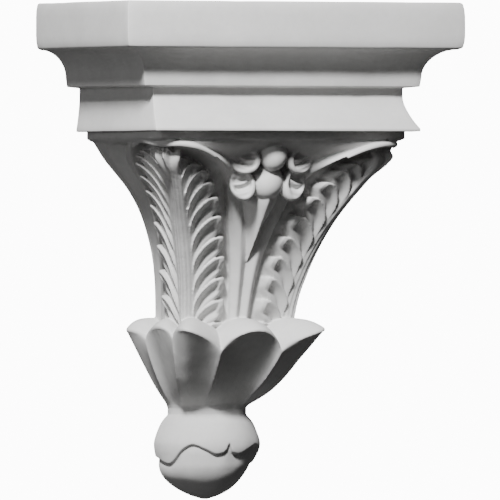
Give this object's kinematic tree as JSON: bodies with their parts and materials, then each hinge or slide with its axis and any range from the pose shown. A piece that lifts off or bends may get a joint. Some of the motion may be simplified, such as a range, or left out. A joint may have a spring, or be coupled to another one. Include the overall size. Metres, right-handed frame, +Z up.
{
  "type": "floral corbel",
  "caption": "Wall corbel cast in one piece: moulded top slab, bell with hooded acanthus leaves and a flower, petal cup and hanging bud.",
  "frame": {"origin": "on the flat back, on the centre line, 100 mm below the top face", "axes": "+Z up, +Y into the wall, +X to the right of someone who faces the wall; the piece stands forward of the wall along -Y"},
  "size_m": [0.283, 0.1695, 0.3802],
  "materials": {
    "primed_casting": "dense cast urethane under a pale grey, matte factory primer"
  },
  "bodies": {
    "root": {"corbel": "primed_casting"}
  },
  "joints": []
}
